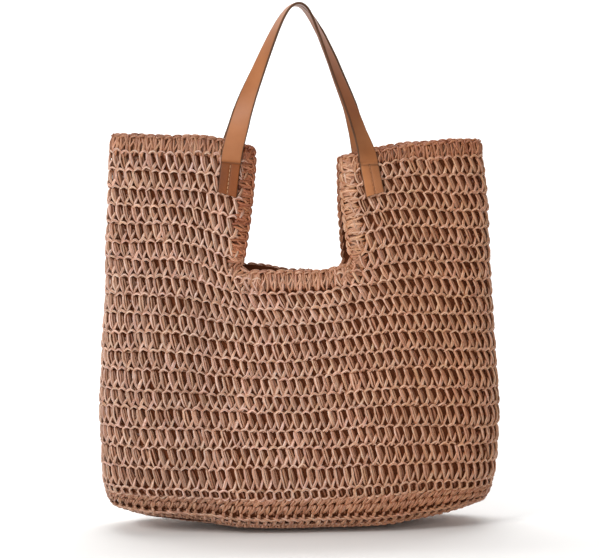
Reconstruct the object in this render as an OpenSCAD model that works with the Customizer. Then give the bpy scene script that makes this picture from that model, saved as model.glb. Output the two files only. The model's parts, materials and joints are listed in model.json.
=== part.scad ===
// Crocheted paper-straw beach tote with a U-shaped notch and two leather handles.
// Millimetres. +Z is up, -Y is the front, the origin is on the floor under the middle of the base.

/* [Body] */
// Half-width of the body at its widest round
body_half_w = 196; // [180:1:215]
// Half-depth of the body at its deepest round
body_half_d = 61; // [52:1:68]
// Thickness of the crocheted fabric
wall_t = 4; // [3:0.5:5]
// Squareness of the oval section (2 is an ellipse)
oval_n = 2.6; // [2.4:0.1:3]
// Thickness of the crocheted base
base_t = 4; // [3:0.5:4.5]

/* [Notch] */
// Half-width of the notch at its floor
notch_half_w=52; // [44:1:54]
// How much each side of the notch closes in towards the top
notch_taper=11; // [0:1:12]
// How far the rounds dip in the middle of the front and back
droop = 18; // [10:1:20]

/* [Base] */
// How far the two ends of the base curve up off the floor
end_lift = 15; // [0:1:18]

/* [Edging] */
// Width of the crocheted edging, measured in the fabric
edging_w = 5; // [4:0.5:6]
// Thickness of the crocheted edging, through the fabric
edging_t = 5.2; // [4.5:0.1:5.6]

/* [Handles] */
// Width of the leather strap
strap_w = 20; // [18:1:21]
// Thickness of the leather strap
strap_t = 2.4; // [2:0.1:2.6]
// Height of the line where the sewn end stops and the strap starts to flex
fold_z = 365; // [360:1:368]
// Height of the middle of the strap at its top
strap_top_z = 521; // [500:1:560]
// Length of each sewn strap end
tab_len = 34; // [30:1:38]

/* [Lining] */
// Thickness of the lining cloth
lining_t = 0.8; // [0.6:0.1:1]
// Space between the middle of the crochet and the outside of the lining
lining_gap = 4.5; // [4.3:0.1:5]

/* [Hidden] */

straw = [0.72, 0.52, 0.38];
leather = [0.66, 0.38, 0.20];
cloth = [0.36, 0.24, 0.15];
thread = [0.45, 0.24, 0.12];

cols = 72;                 // columns round the whole body
z_seam = 4;                // top of the base, where the joining round starts
z_tube = 8;                // top of the joining round, where the tube starts
z_split = 272;             // round at which the shoulders part from the tube
z_top = 392;               // highest round, edging included
gap = 0.25;                // clear space between parts that lie against each other

// Half-width and half-depth of the fabric's middle, by height, as shares of the widest.
w_by_z = [[0, 0.898], [4, 0.918], [8, 0.938], [16, 0.962], [30, 0.982], [60, 0.995], [110, 1], [170, 0.993], [230, 0.976], [280, 0.966], [330, 0.958], [392, 0.929]];
d_by_z = [[0, 0.78], [4, 0.83], [8, 0.88], [16, 0.93], [30, 0.97], [60, 1], [110, 0.985], [170, 0.885], [230, 0.72], [280, 0.575], [330, 0.475], [392, 0.36]];
dip_by_z = [[0, 0], [8, 0], [30, 0.05], [65, 0.22], [165, 0.55], [272, 1], [330, 0.85], [392, 0.67]];

function unit(v) = v / norm(v);
function clamp01(a) = max(0, min(1, a));
function smooth(a) = let (c = clamp01(a)) c * c * (3 - 2 * c);
function spow(a, e) = sign(a) * pow(abs(a), e);
function half_w(z) = body_half_w * lookup(z, w_by_z);
function half_d(z) = body_half_d * lookup(z, d_by_z);
function lift(x, z) = end_lift * pow(clamp01((abs(x) - 60) / 116), 1.5) * exp(-z / 28);
function dip(x, z) = droop * lookup(z, dip_by_z) * smooth((130 - abs(x)) / 90);
// The shoulders' inner edges curl towards each other.
function curl(x, z) = 7 * smooth((64 - abs(x)) / 24) * smooth((z - z_split) / 40);
// A point of the fabric: t goes round it, 0 at the right side, 90 at the front; z is the round's height at the sides; off is outward.
function fab(t, z, off) =
    let (x = (half_w(z) + off) * spow(cos(t), 2 / oval_n),
         y = -(half_d(z) + off) * spow(sin(t), 2 / oval_n))
    [x, y - sign(y) * min(curl(x, z), abs(y)), z - dip(x, z) + lift(x, z)];
// The angle at which the fabric's middle is at a given half-width.
function t_at(x, z) = acos(pow(min(abs(x) / half_w(z), 1), oval_n / 2));
function notch_x(z) = notch_half_w - notch_taper * clamp01((z - z_split) / (z_top - z_split));
function fab_n(t, z) = unit(fab(t, z, 1) - fab(t, z, 0));

// A sheet between two grids of points, rows by columns. ring joins the last column to the first.
module sheet(a, b, ring = false) {
    r = len(a); c = len(a[0]); n = r * c;
    cc = ring ? c : c - 1;
    polyhedron(
        points = concat([for (row = a) each row], [for (row = b) each row]),
        faces = concat(
            [for (j = [0:r - 2], i = [0:cc - 1]) let (p = j * c + i, q = j * c + (i + 1) % c) each [[p, p + c, q], [q, p + c, q + c]]],
            [for (j = [0:r - 2], i = [0:cc - 1]) let (p = n + j * c + i, q = n + j * c + (i + 1) % c) each [[p, q, p + c], [q, q + c, p + c]]],
            [for (i = [0:cc - 1]) let (p = i, q = (i + 1) % c) each [[p, q, n + p], [q, n + q, n + p]]],
            [for (i = [0:cc - 1]) let (p = (r - 1) * c + i, q = (r - 1) * c + (i + 1) % c) each [[p, n + p, q], [q, n + p, n + q]]],
            ring ? [] : [for (j = [0:r - 2]) let (p = j * c, q = (j + 1) * c) each [[p, n + p, q], [q, n + p, n + q]]],
            ring ? [] : [for (j = [0:r - 2]) let (p = j * c + c - 1, q = (j + 1) * c + c - 1) each [[p, q, n + p], [q, n + q, n + p]]]));
}

// Rounds of the fabric between two heights.
module rounds(zs, o1, o2) {
    sheet([for (z = zs) [for (i = [0:cols - 1]) fab(-i * 360 / cols, z, o1)]],
          [for (z = zs) [for (i = [0:cols - 1]) fab(-i * 360 / cols, z, o2)]], true);
}

// Part rounds, from angle t1(z) to t2(z).
module part_rounds(zs, o1, o2, ta, tb, n) {
    sheet([for (k = [0:len(zs) - 1]) [for (i = [0:n]) fab(ta[k] + (tb[k] - ta[k]) * i / n, zs[k], o1)]],
          [for (k = [0:len(zs) - 1]) [for (i = [0:n]) fab(ta[k] + (tb[k] - ta[k]) * i / n, zs[k], o2)]]);
}

// A sheet over the whole oval of one round, between two heights, flat in the middle and curved up at its ends.
oval_xs = [-1, -0.98, -0.94, -0.88, -0.8, -0.7, -0.58, -0.46, -0.335, 0, 0.335, 0.46, 0.58, 0.7, 0.8, 0.88, 0.94, 0.98, 1];
module oval_sheet(off, z, z1, z2) {
    w = half_w(z) + off; d = half_d(z) + off;
    function edge(k, e) = let (x = k * w) [x, e * max(d * pow(1 - pow(abs(k), oval_n), 1 / oval_n), 1)];
    sheet([for (k = oval_xs) [for (e = [1, -1]) let (p = edge(k, e)) [p[0], p[1], z2 + lift(p[0], z2)]]],
          [for (k = oval_xs) [for (e = [1, -1]) let (p = edge(k, e)) [p[0], p[1], z1 + lift(p[0], z1)]]]);
}

// A band swept round a closed or open path. Rings are given as centre, thickness direction and width direction.
module band(rings, ht, hw, closed) {
    r = len(rings); k = 8;
    // eight corners: a flat band with eased edges
    s = [[1, 0.5], [0.5, 1], [-0.5, 1], [-1, 0.5], [-1, -0.5], [-0.5, -1], [0.5, -1], [1, -0.5]];
    e = min(ht, hw) / 2;
    function corner(g, i) =
        let (u = sign(s[i][0]) * (abs(s[i][0]) == 1 ? ht : ht - e), v = sign(s[i][1]) * (abs(s[i][1]) == 1 ? hw : hw - e))
        g[0] + g[1] * u + g[2] * v;
    polyhedron(
        points = [for (g = rings) for (i = [0:k - 1]) corner(g, i)],
        faces = concat(
            [for (j = [0:(closed ? r - 1 : r - 2)], i = [0:k - 1])
                let (p = j * k + i, q = j * k + (i + 1) % k, m = (j + 1) % r, p2 = m * k + i, q2 = m * k + (i + 1) % k)
                each [[p, p2, q], [q, p2, q2]]],
            closed ? [] : [[for (i = [0:k - 1]) i]],
            closed ? [] : [[for (i = [k - 1:-1:0]) (r - 1) * k + i]]));
}

// ---------------------------------------------------------------- crochet

tube_zs = [z_tube, 16, 30, 60, 110, 140, 170, 200, 230, 252, z_split - gap];
shoulder_zs = [z_split + gap, 290, 310, 330, 352, 374, z_top - edging_w - gap * 2];

module base_panel() {
    color(straw) oval_sheet(wall_t / 2, 0, 0, base_t);
}

module base_seam() {
    color(straw) rounds([z_seam + gap, z_tube - gap], wall_t / 2, -wall_t / 2);
}

module body_tube() {
    color(straw) rounds(tube_zs, wall_t / 2, -wall_t / 2);
}

module shoulder() {
    color(straw) part_rounds(shoulder_zs, wall_t / 2, -wall_t / 2,
        [for (z = shoulder_zs) t_at(notch_x(z) + edging_w + gap * 2, z)],
        [for (z = shoulder_zs) -t_at(notch_x(z) + edging_w + gap * 2, z)], 40);
}

// A quarter of the opening's edge, from the middle of the notch floor to the side fold: [angle, round].
function rim_quarter() =
    let (zf = z_split + edging_w / 2, zt = z_top - edging_w / 2, h = edging_w / 2)
    concat(
        [for (x = [0, 12, 24, 34, 42]) [x == 0 ? 90 : t_at(x, zf), zf]],
        [for (p = [[notch_half_w - 0.5, zf + 0.2], [notch_half_w + 1.8, zf + 1.6], [notch_half_w + h, zf + 5]]) [t_at(p[0], p[1]), p[1]]],
        [for (z = [292, 310, 330, 350, 368, 380]) [t_at(notch_x(z) + h, z), z]],
        [for (p = [[notch_x(zt) + h, zt - 2.4], [notch_x(zt) + h + 0.5, zt - 0.9], [notch_x(zt) + h + 1.6, zt - 0.1], [notch_x(zt) + h + 3.4, zt]]) [t_at(p[0], p[1]), p[1]]],
        [for (x = [58, 72, 88, 104, 120, 136, 150, 162, 171, 177]) [t_at(x, zt), zt]],
        [[11, zt], [5, zt]]);

module rim_edging() {
    q = rim_quarter(); m = len(q);
    right = concat(q, [[0, z_top - edging_w / 2]], [for (i = [m - 1:-1:0]) [-q[i][0], q[i][1]]]);
    left = [for (i = [len(right) - 2:-1:1]) [180 - right[i][0], right[i][1]]];
    all = concat(right, left);
    c = len(all);
    pts = [for (a = all) fab(a[0], a[1], 0)];
    nrm = [for (a = all) fab_n(a[0], a[1])];
    rings = [for (i = [0:c - 1])
        let (t = unit(pts[(i + 1) % c] - pts[(i + c - 1) % c]), n = unit(nrm[i] - t * (nrm[i] * t)))
        [pts[i], n, cross(t, n)]];
    color(straw) band(rings, edging_t / 2, edging_w / 2 - 0.2, true);
}

// ---------------------------------------------------------------- lining

lin_o = -lining_gap;
lin_i = -lining_gap - lining_t;
lin_zs = [8, 16, 30, 60, 110, 170, 230, z_split - 3];
lin_sh_zs = [z_split - 3, 290, 310, 330, 352, 374, z_top - 8];

module lining_base() {
    color(cloth) oval_sheet(lin_o - 0.2, 4, base_t + 0.6, base_t + 0.6 + lining_t);
}

// The front cloth of the lining, from side seam to side seam.
module lining_half() {
    g = 0.35;
    color(cloth) union() {
        part_rounds(lin_zs, lin_o, lin_i, [for (z = lin_zs) 180 - g], [for (z = lin_zs) g], 44);
        part_rounds(lin_sh_zs, lin_o, lin_i, [for (z = lin_sh_zs) t_at(notch_x(z) + 4, z)], [for (z = lin_sh_zs) g], 20);
        part_rounds(lin_sh_zs, lin_o, lin_i, [for (z = lin_sh_zs) 180 - g], [for (z = lin_sh_zs) 180 - t_at(notch_x(z) + 4, z)], 20);
    }
}

// ---------------------------------------------------------------- handles

strap_face_y = -28;        // front face of the sewn end at the fold line
tab_lean = 6.2;            // lean of the sewn ends, with the fabric behind them
tab_x = 70;                // middle of the fold line
axis_y = strap_face_y - 0.4;
strap_mid_y = axis_y + strap_t / 2;

// Places a child on the front right sewn end: local -Y is its outer face, +Z is up, the origin is the fold line's middle on the back face.
module on_tab(sx, sy) {
    mirror([sx < 0 ? 1 : 0, 0, 0]) mirror([0, sy < 0 ? 0 : 1, 0])
        translate([tab_x, strap_face_y + strap_t, fold_z]) rotate([-tab_lean, 0, 0]) children();
}

// A flat shape in the plane of a sewn end, between two depths. The end leans 8 degrees, top inward.
module flat_tab(y0, y1) {
    translate([0, y1, 0]) rotate([90, 0, 0]) linear_extrude(y1 - y0) children();
}

module strap_end(sx, sy) {
    h = strap_w / 2;
    color(leather) on_tab(sx, sy) flat_tab(-strap_t, 0)
        polygon([[-h, -0.3], [h, -0.3], [h + 4.8, 1.4 - tab_len], [h + 3.4, -tab_len], [6.6 - h, -tab_len - 1.8], [5 - h, -tab_len - 0.6]]);
}

module backing_patch(sx, sy) {
    h = strap_w / 2 + 2;
    y0 = wall_t + 1.45;
    color(cloth) on_tab(sx, sy) flat_tab(y0, y0 + 0.8)
        polygon([[-h, 1.5], [h, 1.5], [h + 5, -tab_len - 2], [5 - h, -tab_len - 4]]);
}

// One sewn stitch lying on a face: centre, direction in the plane and length.
module stitch(x, y, z, a, l, r) {
    translate([x, y, z]) rotate([0, a, 0]) cylinder(h = l, r = r, center = true, $fn = 16);
}

// The stitches: a row under the fold line, a row down the middle and a row along the lower edge.
module stitches(y, r) {
    for (i = [0:3]) stitch(-6 + i * 4, y, -4.2, 90, 3, r);
    for (i = [0:5]) stitch(1.1 + i * 0.56, y, -8 - i * 4, -8, 3, r);
    for (i = [0:3]) stitch(-1.8 + i * 4, y, -tab_len + 0.9 + i * 0.5, 83, 3, r);
}

module stitching(sx, sy) {
    color(thread) on_tab(sx, sy) {
        stitches(-strap_t - 0.37, 0.35);
        stitches(wall_t + 1.45 + 0.8 + 0.2, 0.15);
    }
}

// Half of the strap's middle line, from the fold line to the top: [x, y, z, twist].
strap_half = [[70, 0, 0.7, 0], [69, 0, 8, 3], [67, 0, 17, 8], [64, 0, 28, 16], [58, 1.6, 46, 28], [50, 4.2, 66, 40], [41, 7.2, 87, 53],
              [32, 10.2, 108, 64], [24, 12.6, 126, 73], [17.5, 14.2, 139, 80], [11.5, 15, 148.5, 85], [6, 15.4, 154, 88], [0, 15.5, 156, 90]];

module handle_strap(sy) {
    k = (strap_top_z - fold_z) / 156;
    m = len(strap_half);
    left = [for (p = strap_half) [-p[0], strap_mid_y + p[1], fold_z + p[2] * (p[2] < 1 ? 1 : k), p[3]]];
    right = [for (i = [m - 2:-1:0]) [-left[i][0], left[i][1], left[i][2], left[i][3]]];
    all = concat(left, right);
    c = len(all);
    pts = [for (a = all) [a[0], a[1], a[2]]];
    rings = [for (i = [0:c - 1])
        let (t = i == 0 ? [0, 0, 1] : i == c - 1 ? [0, 0, -1] : unit(pts[i + 1] - pts[i - 1]),
             w = unit(unit(cross([0, 1, 0], t)) * cos(all[i][3]) - unit([0, 1, 0] - t * t[1]) * sin(all[i][3])))
        [pts[i], cross(w, t), w]];
    color(leather) mirror([0, sy < 0 ? 0 : 1, 0]) band(rings, strap_t / 2, strap_w / 2, false);
}

// ---------------------------------------------------------------- nodes

base_panel();
base_seam();
body_tube();
mirror([1, 0, 0]) shoulder();  // left_shoulder
shoulder();  // right_shoulder
rim_edging();
lining_base();
lining_half();  // lining_front
mirror([0, 1, 0]) lining_half();  // lining_back
strap_end(-1, -1);  // front_left_strap_end
strap_end(1, -1);  // front_right_strap_end
strap_end(-1, 1);  // back_left_strap_end
strap_end(1, 1);  // back_right_strap_end
backing_patch(-1, -1);  // front_left_backing_patch
backing_patch(1, -1);  // front_right_backing_patch
backing_patch(-1, 1);  // back_left_backing_patch
backing_patch(1, 1);  // back_right_backing_patch
stitching(-1, -1);  // front_left_stitching
stitching(1, -1);  // front_right_stitching
stitching(-1, 1);  // back_left_stitching
stitching(1, 1);  // back_right_stitching
handle_strap(-1);  // front_handle_strap
handle_strap(1);  // back_handle_strap
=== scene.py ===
import json
import math

import bpy
import numpy as np
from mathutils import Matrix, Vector


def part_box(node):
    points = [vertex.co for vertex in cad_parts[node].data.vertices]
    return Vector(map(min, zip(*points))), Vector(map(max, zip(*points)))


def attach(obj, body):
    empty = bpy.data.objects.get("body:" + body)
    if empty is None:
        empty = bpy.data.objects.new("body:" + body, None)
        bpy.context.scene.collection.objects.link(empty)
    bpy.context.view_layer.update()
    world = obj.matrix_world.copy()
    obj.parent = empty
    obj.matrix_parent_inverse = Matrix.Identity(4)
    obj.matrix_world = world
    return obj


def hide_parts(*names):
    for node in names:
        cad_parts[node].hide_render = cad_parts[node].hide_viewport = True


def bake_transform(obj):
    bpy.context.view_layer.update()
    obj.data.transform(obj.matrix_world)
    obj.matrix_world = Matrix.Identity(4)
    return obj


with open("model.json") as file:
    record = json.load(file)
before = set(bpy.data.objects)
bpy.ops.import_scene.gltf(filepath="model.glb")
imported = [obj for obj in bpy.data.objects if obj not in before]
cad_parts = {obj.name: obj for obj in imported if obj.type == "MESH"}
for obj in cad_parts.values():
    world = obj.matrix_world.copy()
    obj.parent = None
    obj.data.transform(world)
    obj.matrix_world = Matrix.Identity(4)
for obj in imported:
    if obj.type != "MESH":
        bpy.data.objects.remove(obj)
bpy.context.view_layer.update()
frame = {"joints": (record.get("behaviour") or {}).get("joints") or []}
rng = np.random.default_rng(41)

# ------------------------------------------------------------------ the fabric's surface, in millimetres
tube_lo, tube_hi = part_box("body_tube")
rim_lo, rim_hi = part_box("rim_edging")
WALL = 4.0
HW = tube_hi.x * 1000 - WALL / 2
HD = tube_hi.y * 1000 - WALL / 2
OVAL = 2.6
Z_SPLIT = 272.0
Z_TOP = 392.0
NOTCH_W, NOTCH_TAPER = 51.0, 10.0
DROOP = 18.0
W_BY_Z = [(0, 0.898), (4, 0.918), (8, 0.938), (16, 0.962), (30, 0.982), (60, 0.995), (110, 1), (170, 0.993), (230, 0.976), (280, 0.966), (330, 0.958), (392, 0.929), (410, 0.92)]
D_BY_Z = [(0, 0.78), (4, 0.83), (8, 0.88), (16, 0.93), (30, 0.97), (60, 1), (110, 0.985), (170, 0.885), (230, 0.72), (280, 0.575), (330, 0.475), (392, 0.36), (410, 0.33)]
DIP_BY_Z = [(0, 0), (8, 0), (30, 0.05), (65, 0.22), (165, 0.55), (272, 1), (330, 0.85), (392, 0.67), (410, 0.62)]


def look(z, table):
    a = np.array(table, float)
    return np.interp(z, a[:, 0], a[:, 1])


def smooth(a):
    c = np.clip(a, 0, 1)
    return c * c * (3 - 2 * c)


def soft(z, table):
    """The table, with its corners eased."""
    return sum(look(z + d, table) for d in (-9, -6, -3, 0, 3, 6, 9)) / 7 if np.min(z) > 40 else look(z, table)


def dip(x, z):
    return DROOP * look(z, DIP_BY_Z) * smooth((130 - np.abs(x)) / 90)


def curl(x, z):
    return 9 * smooth((66 - np.abs(x)) / 24) * smooth((z - Z_SPLIT) / 40)


def lift(x, z):
    return 15 * np.clip((np.abs(x) - 60) / 116, 0, 1) ** 1.5 * np.exp(-z / 28)


def notch_x(z):
    return NOTCH_W - NOTCH_TAPER * (1 - (1 - np.clip((z - Z_SPLIT) / (Z_TOP - Z_SPLIT), 0, 1)) ** 1.6)


def waves(x, y, z, seed, size):
    """A smooth bumpy field from -1 to 1."""
    r = np.random.default_rng(seed)
    out = 0
    for _ in range(7):
        k = r.normal(size=3) / size
        out = out + np.sin(x * k[0] + y * k[1] + z * k[2] + r.uniform(0, 6.3))
    return out / 7 * 1.6


# how far each place of the panels has crept up (or down) from an even lay of the rounds
CREEP_X = [-205, -175, -151, -122, -92, -63, -33, -4, 25, 55, 84, 114, 143, 168, 205]
CREEP_Z = [0, 20, 45, 70, 94, 118, 143, 167, 192, 216, 241, 265, 289, 314, 338, 363, 400]
CREEP = [
    [3, 2.4, 1.8, 4.0, 5.0, 3.2, 2.0, 1.8, 2.2, 2.2, 1.6, 3.0, 3.1, 3.5, 3.0],
    [3, 2.4, 2.0, 3.6, 4.2, 3.0, 2.0, 2.3, 2.6, 2.8, 2.6, 4.0, 3.9, 3.4, 3.0],
    [0, 0, 0, 1, 2, 3, 3, 4, 5, 6, 6, 6, 5, 2, 2],
    [4, 4, 4, 3, 5, 9, 9, 10, 10, 11, 7, 6, 5, 2, 2],
    [6, 6, 6, 5, 8, 10, 9, 10, 10, 12, 9, 7, 6, 2, 2],
    [6, 6, 6, 5, 6, 9, 9, 9, 11, 13, 11, 7, 6, 2, 2],
    [6, 6, 7, 5, 5, 8, 9, 8, 11, 13, 11, 8, 6, 2, 2],
    [5, 5, 7, 6, 5, 7, 8, 8, 10, 13, 11, 8, 5, 2, 2],
    [4, 4, 6, 5, 3, 6, 6, 8, 9, 12, 11, 6, 3, 2, 2],
    [4, 4, 3, 3, 3, 4, 6, 7, 8, 11, 10, 4, 1, 1, 1],
    [4, 4, 3, 3, 4, 4, 4, 4, 5, 10, 8, 4, 1, 0, 0],
    [4, 4, 2, 3, 4, 0, 0, 0, 0, 6, 6, 2, 0, -1, -1],
    [1, 1, 2, 2, 3, 0, 0, 0, 0, 4, 5, 1, -1, -3, -3],
    [-1, -1, -1, -1, 0, 0, 0, 0, 0, 3, 3, -1, -3, -4, -4],
    [-3, -3, -3, -4, -3, 0, 0, 0, 0, 3, 2, -1, -3, -5, -4],
    [-3, -3, -2, -5, -4, 0, 0, 0, 0, 0, 1, 1, -2, -2, -2],
    [-1, -1, -1, -2, -1, 0, 0, 0, 0, 0, 0, 0, 0, 0, 0],
]


def creep(x, z):
    t = np.asarray(CREEP, float)
    i = np.interp(z, CREEP_Z, np.arange(len(CREEP_Z)))
    j = np.interp(x, CREEP_X, np.arange(len(CREEP_X)))
    i0, j0 = np.minimum(i.astype(int), len(CREEP_Z) - 2), np.minimum(j.astype(int), len(CREEP_X) - 2)
    a, b = smooth(i - i0), smooth(j - j0)
    a, b = 0.5 * (a + i - i0), 0.5 * (b + j - j0)
    return (t[i0, j0] * (1 - b) + t[i0, j0 + 1] * b) * (1 - a) + (t[i0 + 1, j0] * (1 - b) + t[i0 + 1, j0 + 1] * b) * a


GZ = np.arange(-6, 404, 2.0)
NF = 1440


def wall_grid():
    a = np.linspace(0, 2 * np.pi, 12001)
    s, c = np.sin(a), np.cos(a)
    e = 2 / OVAL
    ux, uy = np.sign(s) * np.abs(s) ** e, -np.sign(c) * np.abs(c) ** e
    g = np.zeros((len(GZ), NF, 3))
    per = np.zeros(len(GZ))
    f = np.arange(NF) / NF
    for i, z in enumerate(GZ):
        x, y = HW * look(max(z, 0), W_BY_Z) * ux, HD * look(max(z, 0), D_BY_Z) * uy
        step = np.hypot(np.diff(x), np.diff(y))
        cum = np.concatenate([[0], np.cumsum(step)])
        per[i] = cum[-1]
        g[i, :, 0] = np.interp(f * cum[-1], cum, x)
        g[i, :, 1] = np.interp(f * cum[-1], cum, y)
        g[i, :, 2] = z
    # the joins between the tables' straight stretches are eased
    for _ in range(3):
        m = g[1:-1].copy()
        k = (GZ[1:-1] > 10)[:, None, None]
        g[1:-1, :, :2] = np.where(k, (g[:-2, :, :2] + 2 * m[:, :, :2] + g[2:, :, :2]) / 4, m[:, :, :2])
    global PLAIN
    PLAIN = g.copy()
    x, y, z = g[..., 0].copy(), g[..., 1].copy(), g[..., 2].copy()
    g[..., 1] = y - np.sign(y) * np.minimum(curl(x, z), np.abs(y))
    g[..., 2] = z - dip(x, z) + lift(x, np.maximum(z, 0)) + creep(x, np.maximum(z, 0))
    # the notch's floor sags a little at the back, and climbs to the right at the front
    floor_z = smooth((z - 225) / 40) * smooth((330 - z) / 50)
    sag = np.interp(x, [-60, -42, -35, -25, -15, -5, 15, 25, 35, 45, 60], [0, 3, 2.4, 1, -1, -2.8, -3, -3.6, -4.6, -5, -1])
    climb = np.interp(x, [-45, -25, 0, 20, 38, 50, 62], [0, 0.6, 0.8, 1.2, 3, 2.5, 0])
    g[..., 2] += floor_z * np.where(y > 0, sag, climb)
    # hand-made: one shoulder stands a little higher, and the panels are not quite even
    g[..., 2] += -3.2 * x / 190 * smooth((z - 240) / 130)
    g[..., 2] += 5.5 * smooth((z - 300) / 70) * 0.75 * np.exp(-(((x + 84) / 34) ** 2))
    g[..., 2] -= 4.7 * smooth((z - 320) / 60) * smooth((160 - x) / 40) * smooth((x - 20) / 50)
    g[..., 2] -= 5.0 * smooth((z - 330) / 50) * np.exp(-(((x - 38) / 20) ** 2))
    # the notch has pulled a little to one side
    side = smooth((174 - np.abs(x)) / 110)
    g[..., 0] += (-4.2 * smooth((z - 205) / 60) + 1.6 * smooth((z - 320) / 60)) * side - 2.0 * smooth((z - 320) / 60) * (1 - side)
    g[..., 0] += -3.5 * np.exp(-(((x + 52) / 30) ** 2)) * np.exp(-(((z - 274) / 34) ** 2))
    # the belly is fuller on the right, and the bottom edge is rounded off above the floor
    g[..., 0] += (3.6 * smooth((x - 60) / 120) - 1.3 * smooth((-x - 60) / 120)) * np.exp(-(((z - 122) / 60) ** 2))
    zz = np.maximum(z, 0)
    g[..., 2] += 4.2 * np.exp(-zz / 14.0) + 3.2 * np.exp(-(((x + 118) / 42) ** 2)) * np.exp(-zz / 30)
    out = np.stack([x / HW, y / HD], -1)
    out /= np.maximum(np.linalg.norm(out, axis=-1, keepdims=True), 1e-6)
    amp = 1.5 * smooth((z - 18) / 60) * (1 - 0.6 * smooth((z - 360) / 30))
    bump = amp * waves(x, y * 1.6, z, 3, 26)
    g[..., 0] += out[..., 0] * bump * 0.6
    g[..., 1] += out[..., 1] * bump
    g[..., 2] += 0.9 * waves(x, y, z, 5, 17) * smooth((z - 30) / 40)
    return g, per


G, PER = wall_grid()
_df = np.roll(G, -2, 1) - np.roll(G, 2, 1)
_dz = np.gradient(G, axis=0)
GN = np.cross(_df, _dz)
GN /= np.maximum(np.linalg.norm(GN, axis=-1, keepdims=True), 1e-9)


def perimeter(z):
    return np.interp(z, GZ, PER)


def bilinear(grid, f, z):
    zi = np.clip((z - GZ[0]) / (GZ[1] - GZ[0]), 0, len(GZ) - 1.001)
    fi = (f % 1.0) * NF
    i, j = zi.astype(int), fi.astype(int) % NF
    a, b = (zi - i)[..., None], (fi - np.floor(fi))[..., None]
    j2 = (j + 1) % NF
    return (grid[i, j] * (1 - b) + grid[i, j2] * b) * (1 - a) + (grid[i + 1, j] * (1 - b) + grid[i + 1, j2] * b) * a


def wall(f, z, off):
    f, z, off = np.broadcast_arrays(np.asarray(f, float), np.asarray(z, float), np.asarray(off, float))
    n = bilinear(GN, f, z)
    n = n / np.linalg.norm(n, axis=-1, keepdims=True)
    return bilinear(G, f, z) + n * off[..., None], n


def base(f, v, off):
    """The base: v is the distance outwards from its middle line, 0 to BASE_R."""
    f, v, off = np.broadcast_arrays(np.asarray(f, float), np.asarray(v, float), np.asarray(off, float))
    e = bilinear(G, f, np.full(f.shape, 2.0))
    c = np.stack([np.clip(e[..., 0] * 0.74, -128, 128), e[..., 1] * 0], -1)
    k = (v / BASE_R)[..., None]
    p = c + (e[..., :2] - c) * k
    z = 3.0 + lift(p[..., 0], 0 * p[..., 0]) + creep(p[..., 0], 0 * p[..., 0]) * (0.45 + 0.55 * (v / BASE_R) ** 2) + 3.4 * np.maximum(v / BASE_R, 0) ** 2.5 + 2.4 * smooth((v / BASE_R - 0.88) / 0.14)
    z = z + 3.0 * np.exp(-(((p[..., 0] + 118) / 42) ** 2)) * (v / BASE_R) ** 2
    q = np.concatenate([p, z[..., None]], -1)
    n = np.zeros_like(q)
    n[..., 2] = -1
    slope = (lift(p[..., 0] + 1, 0 * p[..., 0]) - lift(p[..., 0] - 1, 0 * p[..., 0])) / 2
    n[..., 0] = slope
    side = (e[..., :2] - c) / np.maximum(np.linalg.norm(e[..., :2] - c, axis=-1, keepdims=True), 1e-6)
    n[..., :2] += side * (0.7 * smooth((v / BASE_R - 0.85) / 0.15))[..., None]
    n /= np.linalg.norm(n, axis=-1, keepdims=True)
    return q + n * off[..., None], n


BASE_R = 48.0


def frac_at(x, z):
    """The share of the round at which the undistorted front is at x, for x from 0 to the side."""
    f = np.linspace(0, 0.25, 361)
    return np.interp(x, bilinear(PLAIN, f, np.full(f.shape, float(z)))[:, 0], f)


# ------------------------------------------------------------------ meshes and strands of yarn
def new_mesh(name, verts, quads, colours=None, caps=None, uv=None):
    me = bpy.data.meshes.new(name)
    verts = np.asarray(verts, np.float64).reshape(-1, 3) * 0.001
    quads = np.asarray(quads, np.int64).reshape(-1, 4)
    me.vertices.add(len(verts))
    me.vertices.foreach_set("co", verts.ravel())
    loops = [quads.ravel()]
    starts = [np.arange(len(quads)) * 4]
    n = len(quads) * 4
    if caps is not None:
        caps = np.asarray(caps, np.int64)
        loops.append(caps.ravel())
        starts.append(n + np.arange(len(caps)) * caps.shape[1])
    loops, starts = np.concatenate(loops), np.concatenate(starts)
    me.loops.add(len(loops))
    me.loops.foreach_set("vertex_index", loops.astype(np.int32))
    me.polygons.add(len(starts))
    me.polygons.foreach_set("loop_start", starts.astype(np.int32))
    me.update(calc_edges=True)
    me.validate()
    me.polygons.foreach_set("use_smooth", np.ones(len(me.polygons), bool))
    if colours is not None:
        a = me.color_attributes.new("Col", "FLOAT_COLOR", "POINT")
        c = np.ones((len(verts), 4), np.float32)
        c[:, :3] = np.asarray(colours).reshape(-1, 3)
        a.data.foreach_set("color", c.ravel())
    ob = bpy.data.objects.new(name, me)
    bpy.context.scene.collection.objects.link(ob)
    return ob


def spline(k, m):
    """Catmull-Rom weights from k control points to m points."""
    w = np.zeros((m, k))
    for r, t in enumerate(np.linspace(0, k - 1, m)):
        i = min(int(t), k - 2)
        u = t - i
        c = [-0.5 * u + u * u - 0.5 * u**3, 1 - 2.5 * u * u + 1.5 * u**3, 0.5 * u + 2 * u * u - 1.5 * u**3, -0.5 * u * u + 0.5 * u**3]
        for d, cw in zip((-1, 0, 1, 2), c):
            w[r, min(max(i + d, 0), k - 1)] += cw
    return w


def unit(v):
    return v / np.maximum(np.linalg.norm(v, axis=-1, keepdims=True), 1e-9)


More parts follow.
